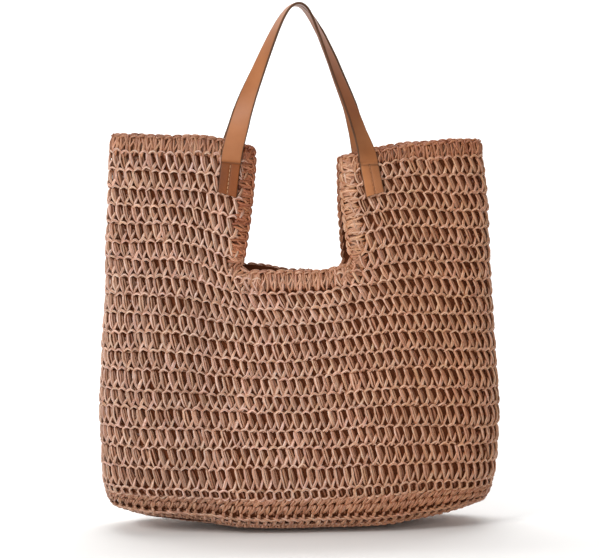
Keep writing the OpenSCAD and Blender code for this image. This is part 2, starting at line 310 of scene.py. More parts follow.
class Yarn:
    """Collects strands and makes one mesh of them."""

    def __init__(self):
        self.v, self.c, self.q, self.k, self.n = [], [], [], {}, 0

    def add(self, pts, nrm, width, thick, sides, rings, tint, lobes=3, ends=0.45, twist=1.0, dark=(0.75, 0.75)):
        n, k = pts.shape[:2]
        if n == 0:
            return
        w = spline(k, rings)
        p = np.einsum("mk,nkd->nmd", w, pts)
        q = unit(np.einsum("mk,nkd->nmd", w, nrm))
        t = unit(np.gradient(p, axis=1))
        b = unit(np.cross(t, q))
        q = np.cross(b, t)
        s = np.linspace(0, 1, rings)
        wid = np.einsum("mk,nk->nm", w, np.broadcast_to(np.asarray(width, float), (n, k))) / 2
        thi = np.einsum("mk,nk->nm", w, np.broadcast_to(np.asarray(thick, float), (n, k))) / 2
        tip = np.minimum(1, ends + (1 - ends) * np.minimum(s, 1 - s) * 7)
        th = np.arange(sides) * 2 * np.pi / sides
        ph = rng.uniform(0, 6.28, (n, 1, 1))
        tw = rng.normal(twist, 0.5, (n, 1, 1)) * 2.2
        g = 0.5 + 0.5 * np.cos(lobes * th[None, None] + ph + tw * s[None, :, None])
        rad = 1.04 - 0.24 * g
        cx, cy = np.cos(th), np.sin(th)
        cx, cy = np.sign(cx) * np.abs(cx) ** 0.85, np.sign(cy) * np.abs(cy) ** 0.85
        wob = 1 + 0.07 * np.sin(s[None, :, None] * rng.uniform(6, 14, (n, 1, 1)) + rng.uniform(0, 6.28, (n, 1, 1)))
        x = (wid * tip)[..., None] * cx * rad * wob
        y = (thi * tip)[..., None] * cy * rad
        v = p[:, :, None] + b[:, :, None] * x[..., None] + q[:, :, None] * y[..., None]
        # painted shade: each strand is darker in its ply's twisted grooves and towards its ends, where it tucks under
        # the next stitch (sink, set by dark), and the darker parts are made redder
        shade = (1.09 - 0.44 * g**1.5) * (1 + 0.05 * rng.normal(size=(n, rings, 1)))
        sink = np.interp(s, [0, 0.22, 0.78, 1], [dark[0], 1, 1, dark[1]])
        f = np.clip(shade * sink[None, :, None], 0.05, 1.2)[..., None]
        col = np.asarray(tint)[:, None, None, :] * f ** np.array([1.0, 1.8, 2.5])
        base_i = self.n + (np.arange(n) * rings * sides)[:, None, None]
        i = np.arange(rings - 1)[None, :, None] * sides
        j = np.arange(sides)[None, None]
        j2 = (j + 1) % sides
        quads = np.stack(np.broadcast_arrays(base_i + i + j, base_i + i + sides + j, base_i + i + sides + j2, base_i + i + j2), -1)
        self.q.append(quads.reshape(-1, 4))
        a = self.n + np.arange(n)[:, None] * rings * sides + np.arange(sides)[None]
        z = a + (rings - 1) * sides
        self.k.setdefault(sides, []).append(np.concatenate([a, z[:, ::-1]]))
        self.v.append(v.reshape(-1, 3))
        self.c.append(col.reshape(-1, 3))
        self.n += n * rings * sides

    def make(self, name, material, body, slot, *nodes):
        verts, cols, quads = np.concatenate(self.v), np.concatenate(self.c), np.concatenate(self.q)
        # painted shade: the colour is darker and warmer towards +x, the side turned away from the key light
        cols = cols * np.array([0.885, 0.785, 0.65]) ** smooth((verts[:, :1] + 30) / 190)
        # painted shade: darker colours, which stand for shade, are made redder still; towards -x this is stronger and
        # the colour a little darker, most of all below z 270
        lum = np.clip(cols[:, :1] / STRAW[0], 0.05, 1.1)
        low = smooth((-50 - verts[:, :1]) / 60)
        cols = cols * lum ** (np.array([0.0, 0.42, 0.85]) + 0.30 * low) * (1 - 0.05 * low - 0.05 * low * smooth((270 - verts[:, 2:3]) / 60))
        if name.startswith("crochet_shoulder_left"):
            # painted shade: the shade on the notch's left edge reaches the first stitches beside it
            near = smooth((15 - (np.abs(verts[:, :1]) - notch_x(verts[:, 2:3]))) / 5) * (verts[:, 1:2] < 0) * smooth((verts[:, 2:3] - 279) / 12)
            cols = cols * np.array([0.80, 0.60, 0.46]) ** near
        # a cap is four-sided pieces of its ring, so that every face has four corners
        caps = []
        for sides, lists in self.k.items():
            c = np.concatenate(lists)
            for a in range(0, sides - 2, 2):
                caps.append(np.stack([c[:, 0], c[:, a + 1], c[:, a + 2], c[:, min(a + 3, sides - 1)]], -1) if a + 3 < sides else np.stack([c[:, 0], c[:, a + 1], c[:, a + 2]], -1))
        fours = [c for c in caps if c.shape[1] == 4]
        threes = [c for c in caps if c.shape[1] == 3]
        ob = new_mesh(name, verts, np.concatenate([quads, *fours]), np.clip(cols, 0.0, 1), np.concatenate(threes) if threes else None)
        ob.data.materials.append(material)
        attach(ob, body)
        if nodes:
            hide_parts(*nodes)
        return ob


STRAW = np.array([0.545, 0.339, 0.249])
EDGE_STRAW = STRAW * np.array([0.90, 0.81, 0.72])


def tints(n, spread=0.10, base_tint=STRAW, dim=1.0):
    # painted shade and light: with dim below 1 a strand that lies deeper is made darker and redder; with dim above 1 a
    # strand in front is made lighter
    deep = np.array([1.0, 1.4, 1.85]) if dim < 1 else np.ones(3)
    t = base_tint[None] * dim**deep * (1 + spread * rng.normal(size=(n, 1)))
    warm = 0.026 * rng.normal(size=(n, 1)) + 0.05 * (rng.random((n, 1)) < 0.05)
    t = t * (1 + warm * np.array([[0.3, -0.4, -1.2]]))
    pink = 0.018 * rng.normal(size=(n, 1))
    return np.clip(t * (1 + pink * np.array([[0.2, -1.0, 0.5]])), 0.02, 0.95)


def place(surface, f0, df, z0, h, cps, jitter=0.055):
    """Control points: s in stitches from f0, t in row heights from z0, o in millimetres outwards."""
    n = len(f0)
    c = np.asarray(cps, float)
    s = c[None, :, 0] + jitter * rng.normal(size=(n, 1)) + 0.35 * jitter * rng.normal(size=(n, len(c)))
    t = c[None, :, 1] + 0.6 * jitter * rng.normal(size=(n, 1)) + 0.2 * jitter * rng.normal(size=(n, len(c)))
    o = c[None, :, 2] + 0.15 * rng.normal(size=(n, 1))
    return surface(f0[:, None] + df * s, z0 + h * t, o)


def shoulder_keep(f, z, margin_left, margin_right):
    """True for the places that lie in the shoulders' own stitches, clear of the notch's edging."""
    p = bilinear(PLAIN, f, np.full(f.shape, float(z)))
    return np.abs(p[:, 0]) > notch_x(z) + np.where(p[:, 0] < 0, margin_left, margin_right)


PITCH = 8.85
RIDGES = [44, 64, 83, 101, 121, 138, 158, 176, 195, 214, 232, 250, 268, 286, 305, 323, 341, 358, 375]


def tall_row(yarns, z0, z1, n, phase, shift, keep=None, ridge=True, dim=1.0):
    """A round of tall stitches between two ridges. yarns picks the mesh by side: a function of x to a Yarn."""
    f = (np.arange(n) + phase) / n
    f = f % 1.0
    if keep is not None:
        f = f[keep(f)]
    df, h = 1.0 / n, z1 - z0
    x = bilinear(G, f, np.full(f.shape, (z0 + z1) / 2.0))[:, 0]
    for yarn, m in yarns(x):
        g = f[m]
        k = len(g)
        if k == 0:
            continue
        fat = 1 + 0.10 * rng.normal(size=(k, 1))
        sh = shift
        # back leg, seen through the hole
        P, N = place(wall, g, df, z0, h, [(-0.34, 0.93, -1.9), (-0.10, 0.66, -2.4), (0.16, 0.30, -2.3), (0.34, 0.04, -1.8)])
        yarn.add(P, N, 2.9 * fat * np.array([[0.9, 1, 1, 0.9]]), 1.5, 6, 6, tints(k, dim=0.52), lobes=2)
        far = np.abs(x[m]) > 163
        if far.any():
            P, N = place(wall, g[far], df, z0, h, [(-0.55, 0.52, -2.2), (0.0, 0.56, -2.4), (0.55, 0.52, -2.2)])
            yarn.add(P, N, 5.2, 1.3, 6, 5, tints(int(far.sum()), dim=0.5), lobes=2)
        # a ply half behind the post
        P, N = place(wall, g, df, z0, h, [(-0.30, 0.93, -1.3), (-0.11, 0.74, -0.7), (0.07, 0.48, -0.5), (0.20, 0.24, -0.6), (0.24, 0.02, -1.2)])
        yarn.add(P, N, fat * np.array([[1.8, 2.5, 3.2, 3.3, 2.4]]), np.array([[1.4, 1.7, 1.8, 1.7, 1.4]]), 8, 8, tints(k, dim=0.66), dark=(0.5, 0.8))
        # post: two plies side by side
        P, N = place(wall, g, df, z0, h, [(-0.42, 0.96, -0.8), (-0.31, 0.82, 0.7), (-0.16, 0.58, 1.3), (-0.02, 0.35, 1.2), (0.08, 0.15, 0.6), (0.13 + 0.3 * sh, -0.01, -0.7)])
        yarn.add(P, N, fat * np.array([[1.8, 2.4, 2.5, 2.3, 2.0, 1.6]]), np.array([[1.5, 1.9, 2.1, 2.0, 1.7, 1.4]]), 8, 10, tints(k, dim=0.84), lobes=3, dark=(0.6, 0.75))
        P, N = place(wall, g, df, z0, h, [(-0.54, 0.985, -0.7), (-0.51, 0.86, 1.3), (-0.40, 0.62, 2.2), (-0.24, 0.37, 2.1), (-0.04, 0.14, 1.3), (0.06 + 0.3 * sh, -0.02, -0.5)])
        yarn.add(P, N, fat * np.array([[2.0, 2.6, 2.8, 2.6, 2.3, 1.9]]), np.array([[1.6, 2.0, 2.2, 2.2, 1.9, 1.5]]), 8, 11, tints(k, dim=1.04), lobes=3, dark=(0.85, 0.8))
        # leg that rises from the ridge below to the next post
        P, N = place(wall, g, df, z0, h, [(0.02 + 0.2 * sh, -0.08, -0.6), (0.14 + 0.2 * sh, 0.00, 1.7), (0.31, 0.15, 2.7), (0.46, 0.34, 2.5), (0.58, 0.54, 0.7)])
        yarn.add(P, N, fat * np.array([[2.1, 2.9, 3.2, 2.9, 2.0]]), np.array([[1.6, 2.0, 2.1, 1.9, 1.4]]), 8, 9, tints(k, dim=1.04), dark=(0.9, 0.7))
        if ridge:
            P, N = place(wall, g, df, z0, h, [(-0.64, 0.875, -0.8), (-0.45, 0.905, 1.3), (-0.15, 1.02, 2.3), (0.10, 1.035, 2.3), (0.38, 0.955, 1.5), (0.60, 0.88, -0.6)])
            yarn.add(P, N, fat * np.array([[1.8, 2.3, 2.6, 2.7, 2.3, 1.7]]), np.array([[1.6, 2.0, 2.2, 2.2, 2.0, 1.5]]), 8, 11, tints(k, dim=1.10), dark=(0.8, 0.8))
            # the loop's other half, behind the ridge
            P, N = place(wall, g, df, z0, h, [(-0.55, 0.93, -1.9), (-0.2, 1.00, -1.0), (0.2, 1.00, -1.0), (0.55, 0.93, -1.9)])
            yarn.add(P, N, 2.6, 1.7, 6, 6, tints(k, dim=0.7), lobes=2)


def count(z):
    return int(round(perimeter(z) / PITCH))


def one(yarn):
    return lambda x: [(yarn, np.ones(len(x), bool))]


# ------------------------------------------------------------------ materials
def material(name):
    m = bpy.data.materials.new(name)
    m.use_nodes = True
    return m, m.node_tree, m.node_tree.nodes["Principled BSDF"]


def node(nt, kind, **inputs):
    n = nt.nodes.new(kind)
    for k, v in inputs.items():
        key = k.replace("_", " ")
        if key in n.inputs:
            n.inputs[key].default_value = v
        else:
            setattr(n, k, v)
    return n


def yarn_material(name="paper_yarn", gain=1.0):
    m, nt, b = material(name)
    col = node(nt, "ShaderNodeVertexColor", layer_name="Col")
    tc = node(nt, "ShaderNodeTexCoord")
    fine = node(nt, "ShaderNodeTexNoise", Scale=900.0, Detail=3.0, Roughness=0.6)
    wide = node(nt, "ShaderNodeTexNoise", Scale=22.0, Detail=2.0)
    nt.links.new(tc.outputs["Object"], fine.inputs["Vector"])
    nt.links.new(tc.outputs["Object"], wide.inputs["Vector"])
    r1 = node(nt, "ShaderNodeMapRange")
    r1.inputs[3].default_value, r1.inputs[4].default_value = 0.80 * gain, 1.20 * gain
    r2 = node(nt, "ShaderNodeMapRange")
    r2.inputs[3].default_value, r2.inputs[4].default_value = 0.88, 1.12
    nt.links.new(fine.outputs["Fac"], r1.inputs[0])
    nt.links.new(wide.outputs["Fac"], r2.inputs[0])
    mul = node(nt, "ShaderNodeMath", operation="MULTIPLY")
    nt.links.new(r1.outputs[0], mul.inputs[0])
    nt.links.new(r2.outputs[0], mul.inputs[1])
    vm = node(nt, "ShaderNodeVectorMath", operation="SCALE")
    nt.links.new(col.outputs["Color"], vm.inputs[0])
    nt.links.new(mul.outputs[0], vm.inputs["Scale"])
    nt.links.new(vm.outputs["Vector"], b.inputs["Base Color"])
    bump = node(nt, "ShaderNodeBump", Strength=0.35, Distance=0.0004)
    nt.links.new(fine.outputs["Fac"], bump.inputs["Height"])
    nt.links.new(bump.outputs["Normal"], b.inputs["Normal"])
    b.inputs["Roughness"].default_value = 0.46
    b.inputs["Specular IOR Level"].default_value = 0.62
    return m


def cloth_material(name, colour, weave=900.0):
    m, nt, b = material(name)
    uv = node(nt, "ShaderNodeUVMap", uv_map="Cloth")
    w1 = node(nt, "ShaderNodeTexWave", Scale=weave, Distortion=0.3)
    w1.bands_direction = "X"
    w2 = node(nt, "ShaderNodeTexWave", Scale=weave, Distortion=0.3)
    w2.bands_direction = "Y"
    nz = node(nt, "ShaderNodeTexNoise", Scale=60.0, Detail=4.0)
    for n in (w1, w2, nz):
        nt.links.new(uv.outputs["UV"], n.inputs["Vector"])
    mx = node(nt, "ShaderNodeMath", operation="MULTIPLY")
    nt.links.new(w1.outputs["Fac"], mx.inputs[0])
    nt.links.new(w2.outputs["Fac"], mx.inputs[1])
    ramp = node(nt, "ShaderNodeMix")
    ramp.data_type = "RGBA"
    ramp.inputs[6].default_value = (*[c * 0.6 for c in colour], 1)
    ramp.inputs[7].default_value = (*[c * 1.3 for c in colour], 1)
    ad = node(nt, "ShaderNodeMath", operation="MULTIPLY_ADD")
    nt.links.new(mx.outputs[0], ad.inputs[0])
    ad.inputs[1].default_value = 0.6
    nt.links.new(nz.outputs["Fac"], ad.inputs[2])
    nt.links.new(ad.outputs[0], ramp.inputs[0])
    nt.links.new(ramp.outputs[2], b.inputs["Base Color"])
    bump = node(nt, "ShaderNodeBump", Strength=0.4, Distance=0.0003)
    nt.links.new(mx.outputs[0], bump.inputs["Height"])
    nt.links.new(bump.outputs["Normal"], b.inputs["Normal"])
    b.inputs["Roughness"].default_value = 0.85
    b.inputs["Specular IOR Level"].default_value = 0.2
    return m


def leather_material(name, dark, light, rough=0.42):
    m, nt, b = material(name)
    tc = node(nt, "ShaderNodeTexCoord")
    col = node(nt, "ShaderNodeVertexColor", layer_name="Col")
    big = node(nt, "ShaderNodeTexNoise", Scale=38.0, Detail=5.0, Roughness=0.55)
    grain = node(nt, "ShaderNodeTexVoronoi", Scale=1100.0)
    nt.links.new(tc.outputs["Object"], big.inputs["Vector"])
    nt.links.new(tc.outputs["Object"], grain.inputs["Vector"])
    ramp = node(nt, "ShaderNodeMix")
    ramp.data_type = "RGBA"
    ramp.inputs[6].default_value = (*dark, 1)
    ramp.inputs[7].default_value = (*light, 1)
    mr = node(nt, "ShaderNodeMapRange")
    mr.inputs[1].default_value, mr.inputs[2].default_value = 0.3, 0.7
    nt.links.new(big.outputs["Fac"], mr.inputs[0])
    nt.links.new(mr.outputs[0], ramp.inputs[0])
    vm = node(nt, "ShaderNodeVectorMath", operation="MULTIPLY")
    nt.links.new(ramp.outputs[2], vm.inputs[0])
    nt.links.new(col.outputs["Color"], vm.inputs[1])
    nt.links.new(vm.outputs["Vector"], b.inputs["Base Color"])
    bump = node(nt, "ShaderNodeBump", Strength=0.18, Distance=0.0002)
    nt.links.new(grain.outputs["Distance"], bump.inputs["Height"])
    nt.links.new(bump.outputs["Normal"], b.inputs["Normal"])
    rr = node(nt, "ShaderNodeMapRange")
    rr.inputs[3].default_value, rr.inputs[4].default_value = rough - 0.06, rough + 0.1
    nt.links.new(big.outputs["Fac"], rr.inputs[0])
    nt.links.new(rr.outputs[0], b.inputs["Roughness"])
    b.inputs["Specular IOR Level"].default_value = 0.28
    return m


YARN = yarn_material()
LINING = cloth_material("lining_cotton", (0.175, 0.047, 0.0155))
FELT = cloth_material("backing_felt", (0.16, 0.045, 0.016), 500.0)
LEATHER = leather_material("strap_leather", (0.295, 0.104, 0.035), (0.365, 0.137, 0.050))
EDGE = leather_material("strap_edge_paint", (0.11, 0.045, 0.018), (0.16, 0.065, 0.026), 0.5)
THREAD = leather_material("waxed_thread", (0.50, 0.27, 0.13), (0.60, 0.34, 0.18), 0.6)

# ------------------------------------------------------------------ crochet: tube, shoulders
NOTCH_BAND = 14.0
phase = 0.0
groups = [(0, 2), (2, 4), (4, 6), (6, 8), (8, 10), (10, 11)]
for gi, (a, b) in enumerate(groups):
    yarn = Yarn()
    for r in range(a, b):
        phase += 0.30 + 0.08 * rng.normal()
        tall_row(one(yarn), RIDGES[r], RIDGES[r + 1], count(RIDGES[r + 1]), -phase, 0.30)
    yarn.make(f"crochet_wall_{gi + 1}", YARN, "bag", "paper_straw", *(["body_tube"] if gi == 0 else []))
for part, (a, b) in (("", (11, 15)), ("_top", (15, 18))):
    left, right = Yarn(), Yarn()
    for r in range(a, b):
        phase += 0.30 + 0.08 * rng.normal()
        z0, z1 = RIDGES[r], RIDGES[r + 1]
        tall_row(lambda x: [(left, x < 0), (right, x >= 0)], z0, z1, count(z1), -phase, 0.30, keep=lambda f: shoulder_keep(f, (z0 + z1) / 2, *((-18.0, -18.0) if r == 11 else (NOTCH_BAND - 4.0, NOTCH_BAND - 6.5))))
    left.make("crochet_shoulder_left" + part, YARN, "bag", "paper_straw", *([] if part else ["left_shoulder"]))
    right.make("crochet_shoulder_right" + part, YARN, "bag", "paper_straw", *([] if part else ["right_shoulder"]))


# ------------------------------------------------------------------ crochet: short rows at the bottom, and the base
def hole_row(yarn, z0, z1, phase):
    n = count(z1)
    f, df, h = ((np.arange(n) + phase) / n) % 1.0, 1.0 / n, z1 - z0
    fat = 1 + 0.1 * rng.normal(size=(n, 1))
    P, N = place(wall, f, df, z0, h, [(-0.62, 0.74, -0.9), (-0.46, 0.80, 1.2), (-0.15, 1.03, 2.3), (0.14, 1.05, 2.2), (0.42, 0.84, 1.0), (0.6, 0.72, -0.8)])
    yarn.add(P, N, fat * np.array([[1.8, 2.4, 2.8, 2.8, 2.3, 1.7]]), 2.0, 8, 10, tints(n, dim=1.08))
    P, N = place(wall, f, df, z0, h, [(-0.2, 0.95, -1.8), (-0.02, 0.6, -1.5), (0.1, 0.3, -1.5), (0.2, 0.0, -1.8)])
    yarn.add(P, N, 2.6, 1.5, 6, 6, tints(n, dim=0.6), lobes=2)
    P, N = place(wall, f, df, z0, h, [(-0.5, 0.96, -0.6), (-0.52, 0.75, 1.3), (-0.46, 0.42, 1.8), (-0.34, 0.12, 1.2), (-0.24, -0.06, -0.3)])
    yarn.add(P, N, fat * np.array([[2.2, 2.7, 3.1, 2.9, 2.2]]), 2.1, 8, 9, tints(n))
    P, N = place(wall, f, df, z0, h, [(-0.36, 0.05, 0.2), (-0.05, -0.04, 1.6), (0.25, 0.02, 1.6), (0.5, 0.22, 1.0), (0.6, 0.42, -0.6)])
    yarn.add(P, N, fat * np.array([[2.0, 2.4, 2.4, 2.2, 1.6]]), 1.9, 8, 8, tints(n))


def dense_row(yarn, surface, z0, z1, n, phase, strands=3, ridge=True, dim=1.0, out=0.0, lean=0.0, gap=0.4, wide=1.0):
    """A round of short stitches that leaves one small hole at each foot."""
    f, df, h = ((np.arange(n) + phase) / n) % 1.0, 1.0 / n, z1 - z0
    fat = 1 + 0.10 * rng.normal(size=(n, 1))
    P, N = place(surface, f, df, z0, h, [(0.5 + 0.2 * lean, gap, -1.6), (0.5 + 0.5 * lean, 0.5 + gap / 2, -1.1), (0.5 + lean, 1.0, -1.2)], 0.03)
    yarn.add(P, N, 5.8, 1.6, 6, 5, tints(n, dim=dim * 0.7), lobes=2)
    lay = [
        [(0.02, -0.06, -0.5), (-0.13 + 0.3 * lean, 0.24, 1.2), (-0.22 + 0.7 * lean, 0.62, 1.4), (-0.26 + lean, 1.0, -0.1)],
        [(0.06, -0.04, -0.1), (0.16 + 0.3 * lean, 0.24, 1.6), (0.20 + 0.7 * lean, 0.62, 1.7), (0.16 + lean, 1.0, 0.1)],
        [(0.40, 0.33, -0.9), (0.48 + 0.4 * lean, 0.50, 0.9), (0.53 + 0.8 * lean, 0.76, 1.1), (0.54 + lean, 1.0, -0.3)],
    ]
    for c in lay[:strands]:
        c = [(s, t, o + out) for s, t, o in c]
        P, N = place(surface, f, df, z0, h, c, 0.05)
        yarn.add(P, N, fat * wide * np.array([[2.0, 3.1, 3.3, 2.5]]), 2.1, 8, 8, tints(n, 0.11, dim=dim), dark=(0.6, 0.8))
    if ridge:
        P, N = place(surface, f, df, z0, h, [(-0.62, 0.93, -0.6 + out), (-0.35, 0.99, 1.4 + out), (0.0, 1.05, 2.0 + out), (0.3, 1.02, 1.6 + out), (0.58, 0.93, -0.6 + out)])
        yarn.add(P, N, fat * np.array([[1.8, 2.5, 2.9, 2.6, 1.8]]), 2.1, 8, 9, tints(n, dim=dim * 1.05))


def chain_row(yarn, surface, z, n, phase):
    """The slanting halves of a chain's links."""
    f, df = ((np.arange(n) + phase) / n) % 1.0, 1.0 / n
    P, N = place(surface, f, df, z, 1.0, [(-0.60, 1.0, -0.4), (-0.30, 0.9, 1.6), (0.05, -0.2, 2.2), (0.36, -2.0, 1.7), (0.62, -2.6, -0.2)], 0.04)
    yarn.add(P, N, np.array([[1.8, 2.6, 2.9, 2.6, 1.8]]), 2.0, 8, 9, tints(n, dim=0.90))


yarn = Yarn()
hole_row(yarn, 33.6, 44, 0.1)
nb = count(20)
dense_row(yarn, wall, 26.6, 34.6, nb, 0.4, 3, False, 0.75, -0.1, 0.75, 0.12)
dense_row(yarn, wall, 18.0, 27.6, nb, 0.85, 3, False, 0.75, 0.2, 0.62, 0.42)
yarn.make("crochet_bottom_rounds", YARN, "bag", "paper_straw", "base_seam")
yarn = Yarn()
dense_row(yarn, wall, 12.6, 18.4, nb, 0.9, 1, False, 0.80, 0.1, 0.3, 0.95, 1.10)
dense_row(yarn, wall, 3.6, 11.6, nb, 0.45, 1, True, 0.84, 0.0, 0.5, 0.75, 1.20)
chain_row(yarn, wall, 12.4, nb, 0.95)
dense_row(yarn, wall, 0.3, 4.2, nb, 0.7, 3, False, 0.78, -0.6, 0.2, 0.1)
yarn.make("crochet_bottom_edge", YARN, "bag", "paper_straw")

yarn = Yarn()
rounds = 6
for k in range(rounds):
    if k == 3:
        yarn.make("crochet_base", YARN, "bag", "paper_straw", "base_panel")
        yarn = Yarn()
    v0, v1 = BASE_R * k / rounds, BASE_R * (k + 1) / rounds
    n = int(round((2 * 256 + 2 * math.pi * (v1 - 1) * 1.15) / 8.9))
    dense_row(yarn, base, v0, v1, n, 0.37 * k, 3, True, 0.9, 0.0)
yarn.make("crochet_base_outer", YARN, "bag", "paper_straw")


# ------------------------------------------------------------------ crochet: the edging round the opening
def edge_path():
    q = [(frac_at(x, 276.5), 276.5) for x in np.linspace(0, 43.5, 12)]
    q += [(frac_at(x, z), z) for x, z in [(47.0, 276.8), (49.6, 278.0), (50.5, 281.2)]]
    q += [(frac_at(notch_x(z) - 0.3, z), z) for z in np.linspace(288, 383, 20)]
    n = notch_x(Z_TOP)
    q += [(frac_at(n + dx, z), z) for dx, z in [(0.3, 387.2), (1.8, 389.8), (4.4, 391.0), (8.0, 391.2)]]
    f0 = q[-1][0]
    q += [(f, 391.2) for f in np.linspace(f0, 0.25, 42)[1:]]
    q = np.array(q)
    m = q[::-1][1:].copy()
    m[:, 0] = 0.5 - m[:, 0]
    h = np.concatenate([q, m])
    o = h[1:-1].copy()
    o[:, 0] += 0.5
    return np.concatenate([h, o])


path = edge_path()
pp, _ = wall(path[:, 0], path[:, 1], 0)
seg = np.linalg.norm(np.roll(pp, -1, 0) - pp, axis=1)
cum = np.concatenate([[0], np.cumsum(seg)])
EDGE_L = cum[-1]
fine = np.linspace(0, EDGE_L, 2601)[:-1]
pf = np.interp(fine, cum, np.concatenate([path[:, 0], [1.0]]))
pz = np.interp(fine, cum, np.concatenate([path[:, 1], [path[0, 1]]]))
um = pf * perimeter(pz)
du = (np.roll(pf, -3) - np.roll(pf, 3) + 0.5) % 1.0 - 0.5
du = du * perimeter(pz)
dzz = np.roll(pz, -3) - np.roll(pz, 3)
inw = np.stack([dzz, -du], 1)
inw /= np.linalg.norm(inw, axis=1, keepdims=True)
ker = np.hanning(43)
ker /= ker.sum()
inw = np.stack([np.convolve(np.concatenate([inw[-60:, i], inw[:, i], inw[:60, i]]), ker, "same")[60:-60] for i in (0, 1)], 1)
inw /= np.linalg.norm(inw, axis=1, keepdims=True)


def edging(s, d, off):
    """s is the distance along the opening's edge as a share of the whole, d the distance in from it."""
    s, d, off = np.broadcast_arrays(np.asarray(s, float), np.asarray(d, float), np.asarray(off, float))
    k = (s % 1.0) * len(fine)
    i = k.astype(int) % len(fine)
    j = (i + 1) % len(fine)
    b = k - np.floor(k)
    df = (pf[j] - pf[i] + 0.5) % 1.0 - 0.5
    f, z = pf[i] + df * b, pz[i] * (1 - b) + pz[j] * b
    w = inw[i] * (1 - b)[..., None] + inw[j] * b[..., None]
    return wall(f + d * w[..., 0] / perimeter(z), z + d * w[..., 1], off)


def edge_rows(yarns_by_x):
    n = int(round(EDGE_L / 8.5))
    s0 = np.arange(n) / n
    df = 1.0 / n
    P0, _ = edging(s0, np.full(n, 8.0), np.zeros(n))
    for yarn, m in yarns_by_x(P0[:, 0], P0[:, 1]):
        s = s0[m]
        k = len(s)
        fat = 1 + 0.12 * rng.normal(size=(k, 1))
        # tall dense stitches. d runs inwards from the edge, and is greatest at the foot.
        at = (s * len(fine)).astype(int) % len(fine)
        xs = bilinear(PLAIN, pf[at], pz[at])[:, 0]
        onfloor = smooth((300 - pz[at]) / 18) * smooth((50 - np.abs(xs)) / 6)
        ontop = smooth((pz[at] - 384) / 6)
        foot = 18.0 + 7.5 * onfloor + np.where(xs < 0, 3.8, 1.6) * ontop
        z0, h = foot[:, None], -(foot - 2.4)[:, None]
        # painted shade: the notch's left side, turned inwards and away from the light, is darker and redder
        notch_left_shade = (smooth((pz[at] - 279) / 12) * smooth((62 - np.abs(xs)) / 9) * (xs < 0) * (P0[m, 1] < 0))[:, None]
        # painted light: the notch's right side, which faces the light, is made lighter
        notch_right_light = (smooth((pz[at] - 279) / 12) * smooth((64 - np.abs(xs)) / 8) * (xs > 0) * (P0[m, 1] < 0))[:, None]
        shade = np.array([0.84, 0.62, 0.47]) ** notch_left_shade * np.array([0.83, 0.77, 0.71]) ** ontop[:, None] * np.array([1.17, 1.22, 1.20]) ** notch_right_light
        corner = (pz[at] < 292) & (np.abs(xs) > 40)
        if corner.any():
            # where the edging turns the corner, more strands fan out
            for ds in (-0.75, -0.25, 0.25, 0.75):
                P, N = place(edging, s[corner], df, z0[corner], h[corner], [(ds, 0.02, -0.6), (0.85 * ds, 0.35, 0.6), (0.5 * ds, 0.7, 1.0), (0.3 * ds, 1.0, 0.2)], 0.1)
                yarn.add(P, N, 3.6, 1.8, 8, 8, tints(int(corner.sum()), 0.13, EDGE_STRAW, 0.93) * shade[corner], lobes=4, dark=(0.8, 0.85))
        for c, dim, wd in (
            [[(0.50, 0.21, -1.7), (0.50, 0.42, -1.0), (0.48, 0.70, -0.8), (0.46, 1.0, -1.0)], 0.78, 6.6],
            [[(0.00, -0.04, -0.7), (-0.17, 0.26, 0.9), (-0.27, 0.60, 1.3), (-0.26, 1.0, 0.2)], 0.97, 2.7],
            [[(0.05, -0.04, -0.5), (0.20, 0.24, 1.2), (0.27, 0.60, 1.6), (0.20, 1.0, 0.5)], 1.04, 2.7],
            [[(0.46, 0.20, -0.7), (0.52, 0.44, 0.7), (0.50, 0.72, 1.2), (0.44, 1.0, 0.1)], 0.93, 2.6],
            [[(-0.34, 0.30, 0.3), (-0.14, 0.46, 1.7), (0.10, 0.68, 2.0), (0.30, 0.90, 0.8)], 1.05, 2.1],
            [[(0.62, 0.36, 0.2), (0.44, 0.54, 1.5), (0.20, 0.76, 1.9), (0.02, 0.95, 0.8)], 0.98, 2.0],
        ):
            c = [(a, t, o + 0.5) for a, t, o in c]
            P, N = place(edging, s, df, z0, h, c, 0.08)
            yarn.add(P, N, fat * wd * np.array([[0.75, 1.0, 1.02, 0.85]][0][: len(c)])[None], 2.0, 8, 8, tints(k, 0.13, EDGE_STRAW, dim) * shade, lobes=4, dark=(0.6, 0.85))
        # the same on the inside, so that the edge has a back
        P, N = place(edging, s, df, z0, h, [(0.5, 0.20, -1.6), (0.25, 0.4, -2.0), (0.0, 0.7, -2.0), (0.0, 1.0, -1.2)], 0.07)
        yarn.add(P, N, 7.0, 1.6, 6, 5, tints(k, 0.1, EDGE_STRAW, 0.8))
        # chain along the very edge
        for c, dim in (
            ([(-0.60, 4.8, 0.3), (-0.36, 3.4, 1.4), (-0.02, 2.4, 1.6), (0.30, 2.4, 1.0), (0.56, 3.2, -0.3)], 0.99),
            ([(-0.56, 2.2, -0.5), (-0.24, 1.1, 0.0), (0.10, 0.9, 0.1), (0.40, 1.3, -0.4), (0.60, 2.2, -0.9)], 0.93),
            ([(-0.60, 3.8, -1.2), (-0.28, 2.5, -2.0), (0.05, 2.0, -2.0), (0.32, 2.5, -1.5), (0.56, 3.6, -0.8)], 0.88),
        ):
            P, N = place(edging, s, df, 0.0, 1.0, c, 0.10)
            yarn.add(P, N, fat * np.array([[1.6, 2.2, 2.3, 2.1, 1.5]]), 2.0, 8, 8, tints(k, 0.13, EDGE_STRAW, dim) * shade)


ef, eb = Yarn(), Yarn()
edge_rows(lambda x, y: [(ef, y < 0), (eb, y >= 0)])
ef.make("crochet_edging_front", YARN, "bag", "paper_straw", "rim_edging")
eb.make("crochet_edging_back", YARN, "bag", "paper_straw")


